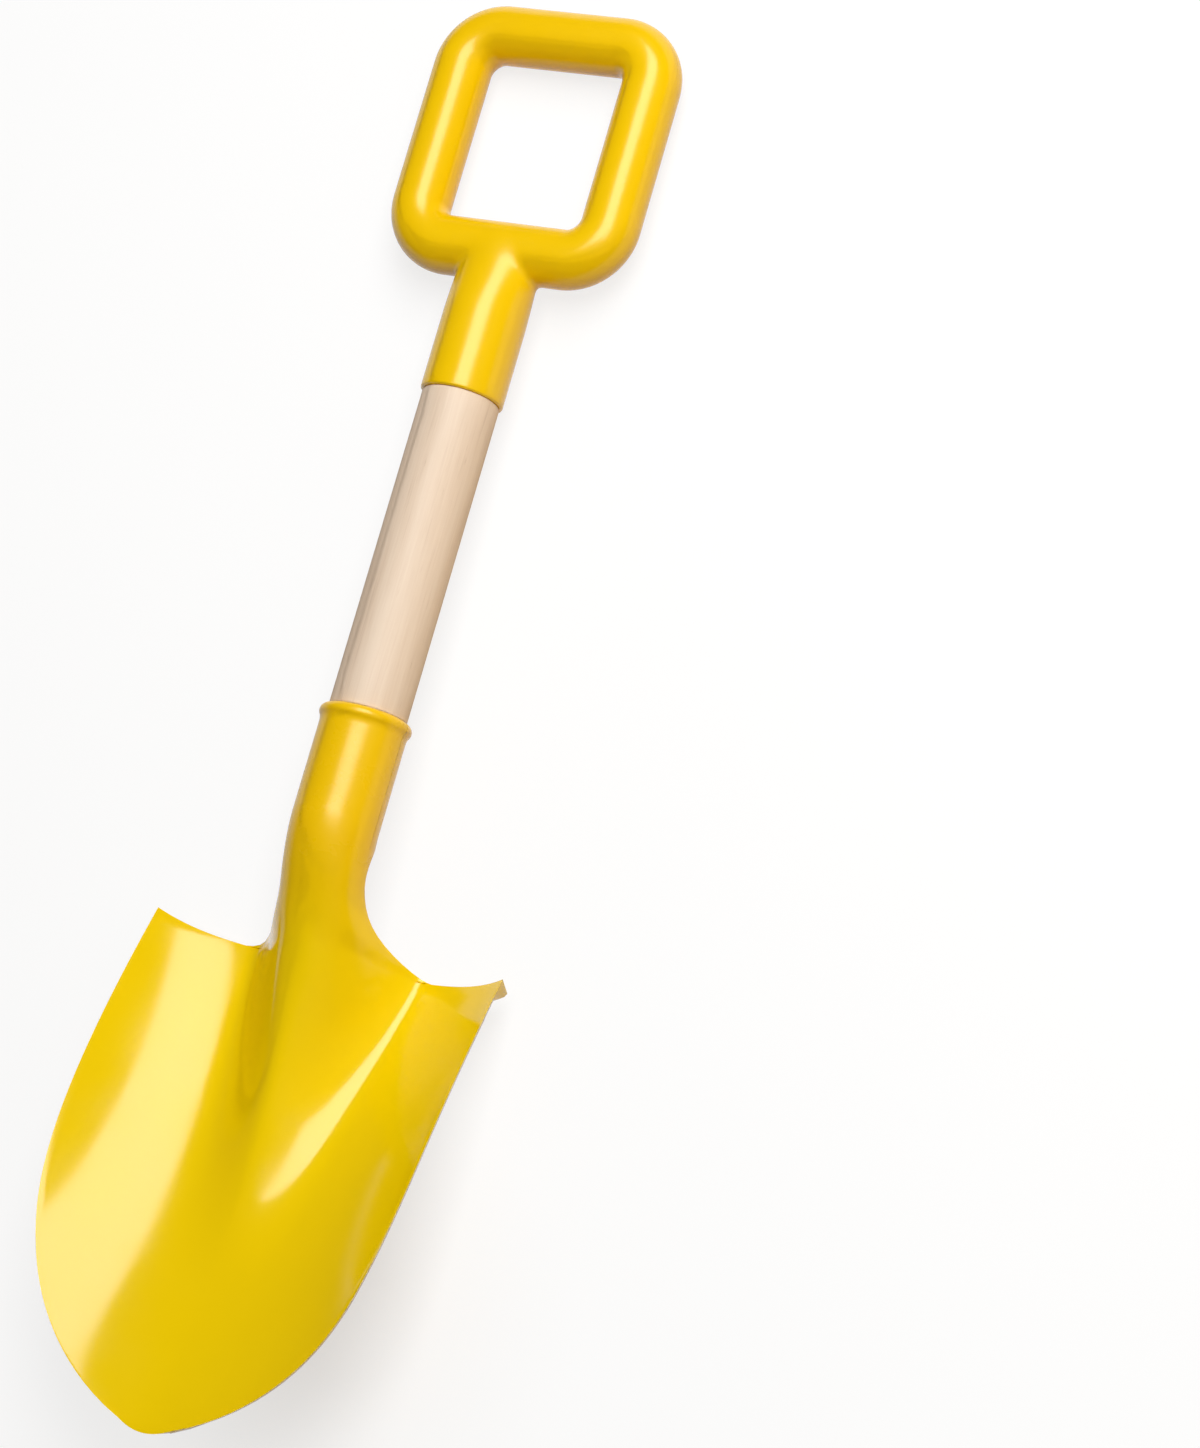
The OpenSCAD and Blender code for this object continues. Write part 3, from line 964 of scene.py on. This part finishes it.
    def soften(self, bm: BMesh) -> None:
        """Rounds the wall's outline and the lip.

        Args:
            bm: the whole wall.
        """
        bm.normal_update()
        least = math.radians(self.edge_angle)
        top = -self.bore_l - self.edge_gap
        sharp = [edge for edge in bm.edges if edge.is_manifold and edge.calc_face_angle(0.0) > least]
        sharp = [edge for edge in sharp if all(vert.co.y < top for vert in edge.verts)]
        bmesh.ops.bevel(
            bm, geom=sharp, offset=self.edge_r, offset_type="OFFSET", segments=self.edge_rows, profile=0.5,
            affect="EDGES", material=-1, clamp_overlap=True,
        )

    def build(self, lie: Lie, finish: GlossPlastic) -> None:
        """Builds and dresses the blade.

        Args:
            lie: how the shovel lies.
            finish: its plastic.
        """
        bm = self.skin()
        self.thicken(bm)
        self.floor(bm)
        self.soften(bm)
        holes = [Countersink(-self.screw_inset, self.socket_r)]
        place = lie.matrix()
        finish_piece("blade_moulding", bm, place, finish.material(), ["blade"], holes)


@dataclass
class Shaft:
    """The turned dowel with its two tenons."""

    diameter: float = 0.022
    bare: float = 0.093
    tenon_d: float = 0.020
    tenon_l: float = 0.025
    chamfer: float = 0.001
    edge_r: float = 0.0006
    edge_rows: int = 4
    body_rows: int = 12
    steps: int = 72

    def profile(self) -> list[Pair]:
        """Draws the turned outline.

        Returns:
            Radius and height of its points, from one end to the other.
        """
        radius = self.diameter / 2
        neck = self.tenon_d / 2
        edge = self.edge_r
        end = -self.tenon_l
        half = [(0.0, end), (neck - self.chamfer, end), (neck, end + self.chamfer), (neck, 0.0)]
        half.append((radius - edge, 0.0))
        for k in range(1, self.edge_rows + 1):
            turn = math.pi / 2 * k / self.edge_rows
            half.append((radius - edge * (1 - math.sin(turn)), edge * (1 - math.cos(turn))))
        body = [(radius, self.bare * k / self.body_rows) for k in range(1, self.body_rows)]
        return half + body + [(r, self.bare - y) for r, y in reversed(half)]

    def build(self, lie: Lie, finish: PaleWood) -> None:
        """Builds and dresses the shaft.

        Args:
            lie: how the shovel lies.
            finish: its wood.
        """
        points = [(radius, y, 0.0) for radius, y in self.profile()]
        bm = lathe(points, (0.0, 0.0, 0.0), (0.0, 1.0, 0.0), self.steps)
        finish_piece("shaft_dowel", bm, lie.matrix(), finish.material(), ["shaft"])


@dataclass
class Grip:
    """The moulded loop grip and its socket."""

    mouth_y: float = 0.093
    bar_r: float = 0.0084
    half_w: float = 0.0296
    low: float = 0.0444
    high: float = 0.1091
    elbow_r: float = 0.0116
    socket_r: float = 0.0118
    flat_r: float = 0.0089
    flat_from: float = 0.022
    neck_y: float = 0.032
    dome_y: float = 0.041
    dome_l: float = 0.0098
    mouth_r: float = 0.0007
    bore_r: float = 0.0101
    bore_l: float = 0.026
    screw_inset: float = 0.013
    melt: float = 0.0018
    patch_x: float = 0.0118
    patch_low: float = 0.3
    inner_stations: tuple[float, ...] = (0.003, 0.006, 0.009)
    outer_stations: tuple[float, ...] = (0.0138, 0.016)
    mouth_top: float = 0.003
    mouth_skin: float = 0.002
    bore_lead: float = 0.0001
    bore_skin: float = 0.0005
    blend_x: float = 0.016
    blend_from: float = 0.02
    blend_over: float = 0.003
    nudge: float = 2e-5
    near_enough: float = 2e-7
    least_slope: float = 0.2
    ring_cells: int = 24
    elbow_steps: int = 9
    side_rows: int = 7
    end_rows: int = 4
    neck_rows: int = 5
    mouth_rows: int = 6
    mouth_steps: int = 4
    skin_cuts: int = 2
    outer_least: float = 0.9
    settle_rounds: int = 6
    smooth_rounds: int = 8

    def socket_depth(self, y: float) -> float:
        """Half depth of the socket, which flattens towards the bar."""
        return mix(self.socket_r, self.flat_r, ease((y - self.flat_from) / (self.low - self.flat_from)))

    def socket_distance(self, point: Vector) -> float:
        """Measures to the outside of the socket, whose end is rounded off inside the bar.

        Args:
            point: a point in the grip's frame.

        Returns:
            The distance, negative inside.
        """
        deep = self.socket_depth(point.y)
        over = max(point.y - self.dome_y, 0.0)
        reach = Vector((point.x / self.socket_r, over / self.dome_l, point.z / deep))
        slope = Vector((reach.x / self.socket_r, reach.y / self.dome_l, reach.z / deep)).length
        if slope < SMALL:
            return -deep
        return (reach.length - 1.0) * reach.length / slope

    def distance(self, point: Vector) -> float:
        """Signed distance to the outside of the grip, with the loop and the socket melted together.

        Args:
            point: a point in the grip's frame, with Y = 0 at the mouth.

        Returns:
            The distance, negative inside.
        """
        inner_w = self.half_w - self.elbow_r
        inner_l = (self.high - self.low) / 2 - self.elbow_r
        over_x = abs(point.x) - inner_w
        over_y = abs(point.y - (self.high + self.low) / 2) - inner_l
        outside = math.hypot(max(over_x, 0.0), max(over_y, 0.0)) + min(max(over_x, over_y), 0.0)
        loop = math.hypot(outside - self.elbow_r, point.z) - self.bar_r
        socket = self.socket_distance(point)
        near = max(self.melt - abs(loop - socket), 0.0) / self.melt
        return min(loop, socket) - near * near * self.melt / 4

    def settle(self, vert: BMVert) -> None:
        """Moves a vertex on to the outside of the grip.

        Args:
            vert: the vertex.
        """
        for _ in range(self.settle_rounds):
            here = self.distance(vert.co)
            if abs(here) < self.near_enough:
                return
            slope = Vector(ZERO)
            for axis in range(3):
                step = Vector(ZERO)
                step[axis] = self.nudge
                rise = self.distance(vert.co + step) - self.distance(vert.co - step)
                slope[axis] = rise / (2 * self.nudge)
            vert.co -= slope * here / max(slope.length_squared, self.least_slope)

    def loop(self) -> BMesh:
        """Sweeps the bar round the loop: half of it, then its mirror image.

        Returns:
            The closed loop.
        """
        bm = bmesh.new()
        bm.verts.layers.float.new("outer")
        ring = Matrix.Translation((0.0, self.low, 0.0)) @ Matrix.Rotation(math.pi / 2, 4, "Y")
        bmesh.ops.create_circle(bm, segments=self.ring_cells, radius=self.bar_r, matrix=ring)
        straight = self.half_w - self.elbow_r
        stations = (0.0, *self.inner_stations, self.patch_x, *self.outer_stations, straight)
        across = [(after - before, 0.0, 0.0) for before, after in zip(stations, stations[1:])]
        climb = self.high - self.low - 2 * self.elbow_r
        up = [(0.0, climb / self.side_rows, 0.0)] * self.side_rows
        back = [(-straight / self.end_rows, 0.0, 0.0)] * self.end_rows
        verts, edges = draw(bm, bm.edges[:], *across)
        verts, edges = self.elbow(bm, verts, edges, self.low + self.elbow_r)
        verts, edges = draw(bm, edges, *up)
        verts, edges = self.elbow(bm, verts, edges, self.high - self.elbow_r)
        draw(bm, edges, *back)
        add_mirror(bm)
        return bm

    def elbow(self, bm: BMesh, verts: list, edges: list, centre_y: float) -> tuple[list, list]:
        """Bends the bar by a quarter turn.

        Args:
            bm: the loop so far.
            verts: its last ring's vertices.
            edges: its last ring's edges.
            centre_y: where the bend's centre lies along the shaft.

        Returns:
            The new last ring's vertices and edges.
        """
        last = bmesh.ops.spin(
            bm, geom=verts + edges, cent=(self.half_w - self.elbow_r, centre_y, 0.0), axis=(0.0, 0.0, 1.0),
            dvec=ZERO, angle=math.pi / 2, steps=self.elbow_steps, use_merge=False, use_duplicate=False,
        )["geom_last"]
        return only(BMVert, last), only(BMEdge, last)

    def socket(self, bm: BMesh) -> None:
        """Draws the socket out of the lower bar, down to its mouth and back up its bore.

        Args:
            bm: the loop.
        """
        outer = bm.verts.layers.float["outer"]
        patch = []
        for face in bm.faces:
            centre = face.calc_center_median()
            if abs(centre.x) < self.patch_x and (centre.y - self.low) / self.bar_r < -self.patch_low:
                patch.append(face)
        bmesh.ops.delete(bm, geom=patch, context="FACES")
        for vert in bm.verts:
            vert[outer] = 1.0
        order = bm.verts.layers.float.new("turn")
        edges = [edge for edge in bm.edges if edge.is_boundary]
        rim = list({vert for edge in edges for vert in edge.verts})
        rim.sort(key=lambda vert: math.atan2(vert.co.z, vert.co.x) % math.tau)
        lead = next(k for k, vert in enumerate(rim) if abs(vert.co.z) < TINY and vert.co.x > 0.0)
        starts = {}
        for k, vert in enumerate(rim[lead:] + rim[:lead]):
            vert[order] = k + 1.0
            starts[k] = vert.co.copy()
        count = len(rim)
        for row in range(1, self.neck_rows + 1):
            fresh, edges = pull(bm, edges)
            for vert in fresh:
                k = round(vert[order] - 1.0)
                turn = math.tau * k / count
                goal = Vector((self.socket_r * math.cos(turn), self.neck_y, self.socket_r * math.sin(turn)))
                vert.co = starts[k].lerp(goal, row / self.neck_rows)
        for radius, y in self.mouth_profile():
            fresh, edges = pull(bm, edges)
            for vert in fresh:
                turn = math.tau * round(vert[order] - 1.0) / count
                vert.co = Vector((radius * math.cos(turn), y, radius * math.sin(turn)))
                in_skin = y > self.mouth_skin and radius > self.bore_r + self.bore_skin
                vert[outer] = 1.0 if in_skin else 0.0
        bmesh.ops.edgeloop_fill(bm, edges=edges)

    def mouth_profile(self) -> list[Pair]:
        """Draws the socket's mouth and bore.

        Returns:
            Radius and height of the rows, down to the mouth and back up the bore.
        """
        shares = [k / self.mouth_rows for k in range(1, self.mouth_rows + 1)]
        rows = [(self.socket_r, mix(self.neck_y, self.mouth_top, share)) for share in shares]
        for k in range(self.mouth_steps + 1):
            turn = math.pi / 2 * k / self.mouth_steps
            inset = self.mouth_r * (1 - math.cos(turn))
            rows.append((self.socket_r - inset, self.mouth_r * (1 - math.sin(turn))))
        rows += [(self.bore_r + self.bore_lead, 0.0), (self.bore_r, self.bore_lead)]
        return rows + [(self.bore_r, self.bore_l)]

    def build(self, lie: Lie, finish: GlossPlastic) -> None:
        """Builds and dresses the grip.

        Args:
            lie: how the shovel lies.
            finish: its plastic.
        """
        bm = self.loop()
        self.socket(bm)
        outer = bm.verts.layers.float["outer"]
        skin = [vert for vert in bm.verts if vert[outer] > self.outer_least]
        top = self.low + self.blend_over
        near = [vert for vert in skin if abs(vert.co.x) < self.blend_x and self.blend_from < vert.co.y < top]
        for vert in skin:
            self.settle(vert)
        for _ in range(self.smooth_rounds):
            bmesh.ops.smooth_vert(
                bm, verts=near, factor=0.5, use_axis_x=True, use_axis_y=True, use_axis_z=True,
            )
            for vert in near:
                self.settle(vert)
        tubes = [edge for edge in bm.edges if all(vert[outer] > self.outer_least for vert in edge.verts)]
        bmesh.ops.subdivide_edges(bm, edges=tubes, cuts=self.skin_cuts, use_grid_fill=True)
        for vert in bm.verts:
            if vert[outer] > self.outer_least:
                self.settle(vert)
        bmesh.ops.recalc_face_normals(bm, faces=bm.faces[:])
        place = lie.matrix() @ Matrix.Translation((0.0, self.mouth_y, 0.0))
        hole = Countersink(self.screw_inset, self.socket_r)
        finish_piece("grip_moulding", bm, place, finish.material(), ["grip"], [hole])


@dataclass
class Screws:
    """The two retaining screws in the backs of the sockets, kept as the frame has them."""

    node: str = "retaining_screws"

    def dress(self, finish: PlatedSteel) -> None:
        """Gives the frame's screws their plating.

        Args:
            finish: the plating.
        """
        piece = frame["nodes"][self.node]
        piece.data.materials.clear()
        piece.data.materials.append(finish.material())
        log.info("%s: dressed", self.node)


@dataclass(frozen=True)
class Softbox:
    """A square-edged studio lamp."""

    name: str
    place: Triple
    aim: Triple
    size: Pair
    radiance: float
    colour: Triple = WHITE
    in_gloss: bool = True
    in_matt: bool = True

    def hang(self) -> None:
        """Hangs the lamp, hidden from the camera."""
        data = bpy.data.lights.new(self.name, "AREA")
        data.shape = "RECTANGLE"
        data.size = self.size[0]
        data.size_y = self.size[1]
        data.color = self.colour
        data.energy = self.radiance * math.pi * self.size[0] * self.size[1]
        lamp = bpy.data.objects.new(self.name, data)
        lamp.location = self.place
        towards = Vector(self.aim) - Vector(self.place)
        lamp.rotation_euler = towards.to_track_quat("-Z", "Y").to_euler()
        lamp.visible_camera = False
        lamp.visible_glossy = self.in_gloss
        lamp.visible_diffuse = self.in_matt
        bpy.context.scene.collection.objects.link(lamp)


@dataclass
class Studio:
    """The white sweep, the lamps, the world and the camera."""

    floor_size: float = 8.0
    floor_cells: int = 8
    world_light: float = 0.08
    world_tint: Triple = (1.0, 0.88, 0.7)
    backdrop_top: Pair = (0.0, 0.06)
    lens: float = 105.43
    sensor_w: float = 36.0
    camera_reach: float = 50.0
    camera_place: Triple = (0.53102, -0.16607, 1.03578)
    camera_turn: Triple = (14.6224, 21.6873, 15.0484)

    def lamps(self) -> list[Softbox]:
        """Plans the lamps.

        Returns:
            A large key beyond the grip, in a gloss and a matt half, and a weak warm fill.
        """
        key = (0.64, 1.15)
        warm = (1.0, 0.9, 0.74)
        return [
            Softbox("key_softbox", (0.26, 0.72, 0.92), (0.26, 0.72, 0.0), key, 7.2, in_matt=False),
            Softbox("key_spread", (0.36, 0.62, 0.92), (0.36, 0.62, 0.0), key, 7.3, in_gloss=False),
            Softbox("soft_fill", (0.95, 0.0, 1.05), (0.0, 0.0, 0.0), (1.3, 1.3), 0.6, warm, in_gloss=False),
        ]

    def floor(self, finish: WhiteSweep) -> None:
        """Lays the floor.

        Args:
            finish: its white.
        """
        bm = bmesh.new()
        cells = self.floor_cells
        bmesh.ops.create_grid(bm, x_segments=cells, y_segments=cells, size=self.floor_size / 2)
        floor = link_mesh("studio_floor", bm)
        floor.data.materials.append(finish.material())

    def light(self) -> None:
        """Hangs the lamps and sets the world: a dim warm light that shows white to the camera.

        Gloss shows that white from the horizon up to the backdrop's top.
        """
        for lamp in self.lamps():
            lamp.hang()
        world = bpy.data.worlds.new("studio_world")
        world.use_nodes = True
        bpy.context.scene.world = world
        graph = Graph(world.node_tree)
        back = world.node_tree.nodes["Background"]
        path = graph.add("ShaderNodeLightPath").outputs
        towards = graph.add("ShaderNodeTexCoord").outputs["Generated"]
        height = graph.add("ShaderNodeSeparateXYZ", {0: towards}).outputs["Z"]
        backdrop = graph.spread(height, 1.0, 0.0, *self.backdrop_top)
        gloss = graph.math("MULTIPLY", path["Is Glossy Ray"], backdrop)
        seen = graph.math("MAXIMUM", path["Is Camera Ray"], path["Is Transmission Ray"])
        seen = graph.math("MAXIMUM", seen, gloss)
        graph.feed(back, "Strength", graph.spread(seen, self.world_light, 1.0, 0.0, 1.0))
        graph.feed(back, "Color", graph.blend(seen, (*self.world_tint, 1.0), (*WHITE, 1.0)))
        world.cycles.sampling_method = "NONE"

    def camera(self) -> None:
        """Sets up the camera at the photograph's viewing angle."""
        data = bpy.data.cameras.new("photo_camera")
        data.sensor_width = self.sensor_w
        data.lens = self.lens
        data.clip_end = self.camera_reach
        data.dof.use_dof = False
        camera = bpy.data.objects.new("photo_camera", data)
        camera.location = self.camera_place
        camera.rotation_euler = Euler([math.radians(turn) for turn in self.camera_turn], "XYZ")
        bpy.context.scene.collection.objects.link(camera)
        bpy.context.scene.camera = camera


def main() -> None:
    """Builds the shovel's pieces, the studio and the camera."""
    logging.basicConfig(level=logging.INFO, format="%(name)s: %(message)s")
    bpy.context.scene.view_settings.view_transform = "Standard"
    lie = Lie.from_record()
    yellow = GlossPlastic(
        "yellow_blade_plastic", (0.96, 0.67, 0.0), (0.93, 0.642, 0.0), lie, 0.12,
        painted_shade_share=0.85, dull=0.15, seam=0.0002,
    )
    grip_yellow = GlossPlastic("yellow_grip_plastic", (0.95, 0.60, 0.0), (0.92, 0.57, 0.0), lie, 0.22)
    wood = PaleWood(
        "pale_shaft_wood", (0.86, 0.70, 0.55), (0.81, 0.64, 0.49), (0.62, 0.46, 0.33), lie.turn(),
    )
    steel = PlatedSteel("plated_screw_steel", (0.66, 0.66, 0.68), (0.5, 0.5, 0.53))
    Blade().build(lie, yellow)
    Shaft().build(lie, wood)
    Grip().build(lie, grip_yellow)
    Screws().dress(steel)
    studio = Studio()
    studio.floor(WhiteSweep("white_sweep", (0.97, 0.97, 0.97)))
    studio.light()
    studio.camera()


if __name__ == "__main__":
    main()
